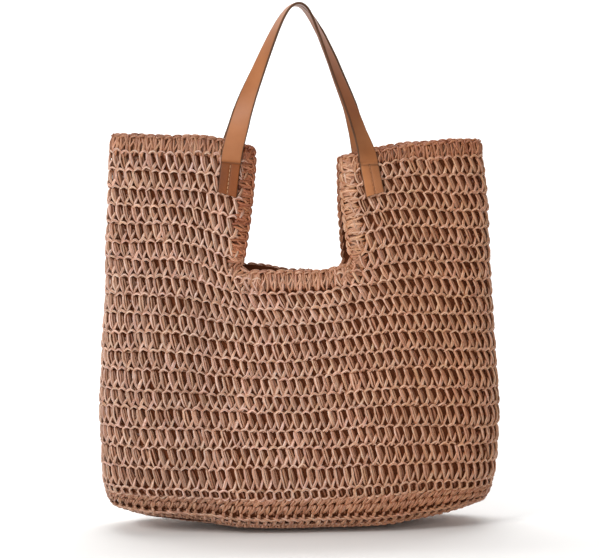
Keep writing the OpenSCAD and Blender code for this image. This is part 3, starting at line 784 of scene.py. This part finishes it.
# ------------------------------------------------------------------ lining
def grid_mesh(name, p, drop=None, uv=None):
    r, c = p.shape[:2]
    i, j = np.meshgrid(np.arange(r - 1), np.arange(c - 1), indexing="ij")
    quads = np.stack([i * c + j, i * c + j + 1, (i + 1) * c + j + 1, (i + 1) * c + j], -1)
    if drop is not None:
        quads = quads[~drop]
    ob = new_mesh(name, p, quads.reshape(-1, 4))
    if uv is not None:
        layer = ob.data.uv_layers.new(name="Cloth")
        idx = np.zeros(len(ob.data.loops), np.int32)
        ob.data.loops.foreach_get("vertex_index", idx)
        layer.data.foreach_set("uv", uv.reshape(-1, 2)[idx].astype(np.float32).ravel())
    used = np.zeros(len(ob.data.vertices), bool)
    idx = np.zeros(len(ob.data.loops), np.int32)
    ob.data.loops.foreach_get("vertex_index", idx)
    used[idx] = True
    if not used.all():
        import bmesh

        bm = bmesh.new()
        bm.from_mesh(ob.data)
        bmesh.ops.delete(bm, geom=[v for v in bm.verts if not v.link_faces], context="VERTS")
        bm.to_mesh(ob.data)
        bm.free()
    return ob


def lining_panel(name, back, cad):
    zs = np.concatenate([np.linspace(6.2, Z_SPLIT - 1, 60), np.linspace(Z_SPLIT + 3.5, 388.5, 34)])
    n1, n2 = 44, 26
    rows, drop, uv = [], [], []
    for z in zs:
        fn = frac_at(notch_x(z) + 2.2, max(z, Z_SPLIT))
        f = np.concatenate([np.linspace(-0.25, -fn, n1), np.linspace(-fn, fn, n2)[1:-1], np.linspace(fn, 0.25, n1)])
        crumple = 0.35 * np.sin(f * 180 + 0.03 * z) * np.sin(0.045 * z + 9 * f)
        off = -4.1 + 0.6 * smooth((np.abs(f) - 0.19) / 0.05) + crumple
        p, _ = wall((f + 0.5 if back else f), np.full(f.shape, z), off)
        rows.append(p)
        uv.append(np.stack([f * perimeter(z), np.full(f.shape, z)], 1) * 0.001)
    p = np.array(rows)
    dr = np.zeros((len(zs) - 1, p.shape[1] - 1), bool)
    k = int(np.searchsorted(zs, Z_SPLIT))
    dr[k:, n1 - 1 : n1 - 1 + n2 - 1] = True
    ob = grid_mesh(name, p, dr, np.array(uv))
    ob.data.materials.append(LINING)
    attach(ob, "bag")
    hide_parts(cad)
    return ob


lf = lining_panel("lining_front_cloth", False, "lining_front")
lb = lining_panel("lining_back_cloth", True, "lining_back")
k = np.linspace(-1, 1, 60)
yk = np.linspace(-1, 1, 24)
E = bilinear(G, np.zeros(1), np.array([6.0]))[0]
bw, bd = abs(bilinear(G, np.array([0.25]), np.array([6.0]))[0, 0]) - 5.2, abs(E[1]) - 5.2
kx = np.sin(k * np.pi / 2)
X = np.repeat((kx * bw)[:, None], 24, 1)
Yb = (bd * np.maximum(1 - np.abs(kx) ** OVAL, 0.0004) ** (1 / OVAL))[:, None] * yk[None]
Zb = 6.4 + lift(X, 5.4) + 0.75 * creep(X, 0 * X)
lbase = grid_mesh("lining_base_cloth", np.stack([X, Yb, Zb], -1), None, np.stack([X, Yb], -1) * 0.001)
lbase.data.materials.append(LINING)
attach(lbase, "bag")
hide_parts("lining_base")

# ------------------------------------------------------------------ leather straps
joints = {j["name"]: j for j in frame["joints"]}
STRAP_W, STRAP_T = 20.0, 2.4
FOLD = joints["front_handle_fold"]["pos_m"][2] * 1000
AXIS_Y = joints["front_handle_fold"]["pos_m"][1] * 1000
TAB_X, TAB_LEAN, TAB_LEN = 70.0, math.radians(6.2), 34.0
TOP_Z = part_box("front_handle_strap")[1].z * 1000 - STRAP_T / 2
HALF = [(70, 0, 0.7, 0), (69, 0, 8, 3), (67, 0, 17, 8), (64, 0.1, 28, 16), (58, 1.6, 46, 28), (50, 4.2, 66, 40), (41, 7.2, 87, 53), (32, 10.2, 108, 64), (24, 12.6, 126, 73), (17.5, 14.2, 139, 80), (11.5, 15, 148.5, 85), (6, 15.4, 154, 88), (0, 15.5, 156, 90)]


def shift_right(rise):
    """The right leg leans in towards the notch more than the left one."""
    return np.interp(rise, [-34, 0, 28, 42, 62, 82, 102, 122, 145, 156], [-1.6, -4.0, -5.4, -5.2, -4.6, -3.9, -3.0, -2.1, -1.6, 0])


def strap(name, sy, cad_nodes):
    """sy is -1 at the front, 1 at the back. The strap is swept from one sewn end over the top to the other."""
    h = np.array(HALF, float)
    k = (TOP_Z - FOLD) / 156
    pts = []
    tab = []
    for d in np.linspace(TAB_LEN - 1.7, 1.2, 9):  # sewn end, from its foot up
        tab.append((-(TAB_X + 4.2 * (d / TAB_LEN) ** 1.0 - 0.2), AXIS_Y + 0.4 + STRAP_T / 2 - d * math.sin(TAB_LEAN), FOLD - d * math.cos(TAB_LEAN), 0.0))
    for x, y, z, a in h[:-1]:
        pts.append((-x, AXIS_Y + STRAP_T / 2 + y, FOLD + z * k, a))
    top = [(0.0, AXIS_Y + STRAP_T / 2 + h[-1][1], FOLD + h[-1][2] * k, 90.0)]
    half = tab + pts
    mirrored = [(-x, y, z, a) for x, y, z, a in half[::-1]]
    full = np.array(half + top + mirrored)
    m = 460
    d = np.concatenate([[0], np.cumsum(np.linalg.norm(np.diff(full[:, :3], axis=0), axis=1))])
    s = np.linspace(0, d[-1], m)
    c = np.stack([np.interp(s, d, full[:, i]) for i in range(4)], 1)
    ker = np.hanning(17)
    ker /= ker.sum()
    pad = 8
    ext = np.concatenate([2 * c[:1] - c[pad:0:-1], c, 2 * c[-1:] - c[-2 : -pad - 2 : -1]])
    c2 = np.stack([np.convolve(ext[:, i], ker, "valid") for i in range(4)], 1)
    p, ang = c2[:, :3], c2[:, 3].copy()
    rise = p[:, 2] - FOLD
    leg = smooth((p[:, 0] - 4) / 20)
    turned = np.interp(rise, [-34, -6, 0, 14, 28, 42, 62, 82, 102, 122, 140, 154], [3, 7, 12, 32, 45, 50, 55, 60, 66, 74, 82, 88])
    ang = ang * (1 - leg) + turned * leg
    ang = np.radians(ang)
    p[:, 0] += leg * shift_right(rise) + 1.2 * (1 - leg) * np.exp(-(((rise - 30) / 24) ** 2))
    p[:, 1] -= 0.6 * leg * (rise < 0)
    if sy > 0:
        # the back strap lies closer behind the front one
        p[:, 0] += np.where(p[:, 0] > 0, np.interp(rise, [0, 14, 30, 55, 100, 128, 150], [0, 1.2, 3.0, 5.2, 5.0, 3.5, 0]), np.interp(rise, [0, 30, 90, 140], [0, 1.2, 1.2, 0]))
    # hand-made: the arch leans a little to one side
    up = np.clip((p[:, 2] - FOLD) / 156, 0, 1)
    p[:, 0] += -2.6 * np.sin(np.minimum(up, 1) * np.pi * 0.62)
    t = unit(np.gradient(p, axis=0))
    x0 = unit(np.cross(np.array([0, 1.0, 0]), t))
    y0 = -unit(np.array([[0, 1.0, 0]]) - t * t[:, 1:2])
    w = unit(x0 * np.cos(ang)[:, None] + y0 * np.sin(ang)[:, None])
    n = np.cross(w, t)  # outer face
    # cross-section: across the width on the outer face, round the edge, back on the inner face
    across = np.concatenate([np.linspace(-1, 1, 17)])
    e = 0.075
    u = np.clip(across * (1 - e), -1, 1)
    sec = [(a, 1.0, 0) for a in u] + [(1 - e * 0.3, 0.72, 1), (1.0, 0.25, 1), (1.0, -0.25, 1), (1 - e * 0.3, -0.72, 1)] + [(-a, -1.0, 0) for a in u] + [(-1 + e * 0.3, -0.72, 1), (-1.0, -0.25, 1), (-1.0, 0.25, 1), (-1 + e * 0.3, 0.72, 1)]
    sec = np.array(sec)
    J = len(sec)
    # distance below the fold line on the sewn ends, negative above it
    side = np.where(s < d[-1] / 2, 1, -1)
    down = FOLD - p[:, 2]
    hw = STRAP_W / 2 * np.ones(m)
    hw = np.where(down > 0.8, hw - 0.35, hw)
    hw = hw + 0.15 * np.sin(s / 23.0)
    ht = STRAP_T / 2 * np.ones(m)
    cen = across_out = sec[:, 0]
    v = p[:, None] + w[:, None] * (hw[:, None] * cen[None])[..., None]
    prof = sec[None, :, 1] * ht[:, None]
    outer = sec[None, :, 1] > 0.9
    inner = sec[None, :, 1] < -0.9
    # dished across, proud at the sewn part's fold, pressed along its middle seam
    rt = (p[:, 0] > 0)[:, None]
    crease = np.exp(-((down[:, None] - 0.9 - rt * (2.4 - 1.4 * cen[None])) / 0.8) ** 2)
    seam = np.where(down[:, None] > 2.0, np.exp(-(cen[None] * hw[:, None] / 0.7) ** 2), 0)
    prof = prof - outer * (0.55 * crease + 0.42 * seam)
    prof = prof + outer * np.where(down[:, None] > 0.9, 0.25, 0.0) * (1 - crease)
    v = v + n[:, None] * prof[..., None]
    # the ends are cut at a slight slant
    for rows, sgn in ((np.arange(0, 26), 1), (np.arange(m - 26, m), -1)):
        fall = np.clip((down[rows] - (TAB_LEN - 8.7)) / 7, 0, 1)
        v[rows, :, 2] -= fall[:, None] * (1.8 if sgn > 0 else 0.9) * sec[None, :, 0]
    col = np.ones((m, J, 3))
    wear = 1 + 0.05 * np.sin(s / 31.0)[:, None, None] * np.ones((1, J, 1))
    col *= wear
    # painted shade in the crease at the fold line
    col *= (1 - 0.45 * (outer * crease))[..., None]
    # painted shade along the pressed middle seam of each sewn end, lighter on the front strap's right end, where the
    # awl's holes between the stitches are painted as darker dots
    hole = np.exp(-(((((down - 4.6) / 4.1) % 1 - 0.5) * 4.1 / 0.85) ** 2))[:, None] * rt * (sy < 0)
    col *= (1 - (0.40 - 0.16 * rt * (sy < 0) + 0.34 * hole) * (outer * seam))[..., None]
    edge_soft = np.clip((np.abs(cen) - 0.86) / 0.14, 0, 1)[None]
    col *= (1 - 0.35 * edge_soft)[..., None]
    col *= np.where(inner, 0.86, 1.0)[..., None]
    # painted shade: the sewn ends below the fold are darker, except the front strap's right one, which is painted
    # lighter
    below = np.where(down[:, None] > 0.9, np.where(rt & (sy < 0), 1.04, 0.93), 1.0)
    col *= below[..., None]
    # painted shade: the front strap's left sewn end, from just above the fold down, is darker and redder
    left_end_shade = np.where(p[:, 0] < 0, smooth((down + 3) / 6), 0)
    col *= (1 - 0.40 * left_end_shade * (sy < 0))[:, None, None] ** np.array([1.0, 1.70, 3.2])
    # painted shade and light: the front strap's right leg, from 20 mm above the fold up, is darker and redder, and its
    # right sewn end is lighter and less red
    far = np.where((p[:, 0] > 0), smooth((-down - 20) / 38), 0)
    col *= np.array([1.03, 1.07, 1.14]) ** (np.where(rt & (sy < 0), 1.0, 0.0) * (down[:, None] > 0.9))[..., None]
    col *= (1 - 0.17 * far * (sy < 0))[:, None, None] ** np.array([1.0, 2.2, 4.2])
    # painted light and shade across the sewn ends' outer faces: lighter towards one edge, darker towards the other
    col *= (1 + np.where(p[:, 0] > 0, 0.20, 0.17)[:, None] * np.clip(cen, -1, 1)[None] * np.where(down > 0.9, 1, 0)[:, None] * (outer))[..., None]
    if sy > 0:
        v[..., 1] *= -1
    i, j = np.meshgrid(np.arange(m - 1), np.arange(J), indexing="ij")
    j2 = (j + 1) % J
    quads = np.stack([i * J + j, i * J + j2, (i + 1) * J + j2, (i + 1) * J + j], -1)
    if sy < 0:
        quads = quads[..., ::-1]
    verts = v.reshape(-1, 3)
    cols = col.reshape(-1, 3)
    # end caps: strips across the section
    caps = []
    for r in (0, m - 1):
        a = np.arange(17)
        b = 17 + 4 + (16 - a)
        for q in range(16):
            caps.append([r * J + a[q], r * J + a[q + 1], r * J + b[q + 1], r * J + b[q]])
        caps.append([r * J + 16, r * J + 17, r * J + 20, r * J + 21])
        caps.append([r * J + 17, r * J + 18, r * J + 19, r * J + 20])
        caps.append([r * J + 37, r * J + 38, r * J + 41, r * J + 0])
        caps.append([r * J + 38, r * J + 39, r * J + 40, r * J + 41])
    quads = quads.reshape(-1, 4)
    nq = len(quads)
    ob = new_mesh(name, verts, np.concatenate([quads, np.array(caps)]), np.clip(cols, 0, 1.3))
    ob.data.materials.append(LEATHER)
    ob.data.materials.append(EDGE)
    on_edge = np.tile(np.isin(np.arange(J), [16, 17, 18, 19, 20, 37, 38, 39, 40, 41]), m - 1)
    idx = np.concatenate([on_edge.astype(np.int32), np.ones(len(caps), np.int32)])
    if len(ob.data.polygons) == len(idx):
        ob.data.polygons.foreach_set("material_index", idx)
    import bmesh

    bm = bmesh.new()
    bm.from_mesh(ob.data)
    bmesh.ops.recalc_face_normals(bm, faces=bm.faces)
    bm.to_mesh(ob.data)
    bm.free()
    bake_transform(ob)
    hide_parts(*cad_nodes)
    return ob


for sy, side in ((-1, "front"), (1, "back")):
    strap(f"{side}_strap", sy, [f"{side}_handle_strap", f"{side}_left_strap_end", f"{side}_right_strap_end"])


def tab_point(sx, sy, a, c, o):
    """A point on a sewn end: a across, c down from the fold line, o out from its outer face."""
    y = AXIS_Y + 0.4 - o
    x = TAB_X + a + 4.2 * c / TAB_LEN
    z = FOLD - c * math.cos(TAB_LEAN) - o * math.sin(TAB_LEAN) * 0
    y = y - c * math.sin(TAB_LEAN)
    x = sx * x + (shift_right(-c) if sx > 0 else 0)
    if sx > 0:
        y -= 0.6 + (a if abs(a) < 3 else 0) * 0
    return np.array([x, y if sy < 0 else -y, z])


for sy, fb in ((-1, "front"), (1, "back")):
    for sx, lr in ((-1, "left"), (1, "right")):
        yarn = Yarn()
        P, N = [], []
        for i in range(7):
            c = 4.6 + i * 4.1
            P.append([tab_point(sx, sy, 0, c + q, o) for q, o in ((-1.5, -0.5), (-0.9, 0.15), (0.9, 0.15), (1.5, -0.5))])
            N.append([np.array([0, sy, 0.0])] * 4)
        yarn.add(np.array(P), np.array(N), 0.75, 0.6, 8, 8, np.ones((7, 3)) * (np.array([0.62, 0.50, 0.44]) if sx > 0 else 1.0), lobes=2, ends=0.7)
        yarn.make(f"{fb}_{lr}_stitches", THREAD, "bag", "thread", f"{fb}_{lr}_stitching")
        # felt patch between crochet and lining
        rows = []
        us = np.linspace(-12, 12, 13)
        for layer in (0, 1):
            for cz in np.linspace(-1.5, TAB_LEN + 3, 12):
                rows.append([tab_point(sx, sy, u, cz, -(2.4 + 4 + 1.6 + 0.7 * layer) + 0.08 * math.sin(u * 1.3 + cz)) for u in us])
        a, b = np.array(rows[:12]), np.array(rows[12:])
        ring = np.concatenate([a, b[:, ::-1], a[:, :1]], 1)
        r, c = ring.shape[:2]
        uvp = np.stack(np.meshgrid(np.arange(c) * 0.002, np.arange(r) * 0.003), -1)
        ob = grid_mesh(f"{fb}_{lr}_patch", ring, None, uvp)
        ob.data.materials.append(FELT)
        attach(ob, "bag")
        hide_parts(f"{fb}_{lr}_backing_patch")

# ------------------------------------------------------------------ floor, light, camera
fm, fnt, fb = material("studio_floor")
fb.inputs["Base Color"].default_value = (0.86, 0.86, 0.855, 1)
fb.inputs["Roughness"].default_value = 0.9
fb.inputs["Specular IOR Level"].default_value = 0.1
u = np.concatenate([np.linspace(-3500, 2200, 12), 2200 + 1600 * np.sin(np.linspace(0.1, np.pi / 2, 16))])
w = np.concatenate([np.zeros(12), 1600 * (1 - np.cos(np.linspace(0.1, np.pi / 2, 16)))])
u, w = np.concatenate([u, [3800]]), np.concatenate([w, [5200]])
prof = np.stack([u, w], 1)
xs = np.linspace(-5000, 5000, 9)
p = np.array([[(x, a, b - 0.2) for x in xs] for a, b in prof])
floor = grid_mesh("studio_backdrop", p)
floor.data.materials.append(fm)

world = bpy.data.worlds.new("studio")
bpy.context.scene.world = world
world.use_nodes = True
bg = world.node_tree.nodes["Background"]
bg.inputs["Color"].default_value = (1.0, 1.0, 1.0, 1)
bg.inputs["Strength"].default_value = 0.37


def area(name, at, to, size, power, colour=(1, 1, 1)):
    l = bpy.data.lights.new(name, "AREA")
    l.shape = "RECTANGLE"
    l.size, l.size_y = size
    l.energy = power
    l.color = colour
    o = bpy.data.objects.new(name, l)
    o.location = at
    o.rotation_euler = (Vector(to) - Vector(at)).to_track_quat("-Z", "Y").to_euler()
    bpy.context.scene.collection.objects.link(o)
    return o


area("key_light", (-1.75, -1.45, 1.5), (0, 0, 0.25), (0.9, 0.9), 38, (1, 0.985, 0.965))
area("fill_light", (-0.45, -2.5, 0.8), (0, 0, 0.2), (1.1, 1.1), 14.5, (1.0, 0.97, 0.93))
area("top_light", (0.0, 0.3, 2.2), (0, 0, 0.3), (1.6, 1.2), 10)
area("wall_light", (0.0, 1.0, 2.9), (0, 3.2, 0.8), (3.4, 1.2), 130)
bpy.context.scene.view_settings.view_transform = "Standard"

cam_d = bpy.data.cameras.new("camera")
cam = bpy.data.objects.new("camera", cam_d)
bpy.context.scene.collection.objects.link(cam)
bpy.context.scene.camera = cam
az, el, dist = math.radians(-5.0), math.radians(4.5), 2.0
mid = Vector((0.0005, 0.0, 0.2475))
cam.location = mid + dist * Vector((math.sin(az) * math.cos(el), -math.cos(az) * math.cos(el), math.sin(el)))
cam.rotation_euler = (mid - cam.location).to_track_quat("-Z", "Y").to_euler()
cam_d.sensor_width = 36.0
cam_d.sensor_fit = "HORIZONTAL"
cam_d.lens = 36.0 * dist / 0.600
cam_d.clip_start, cam_d.clip_end = 0.05, 50
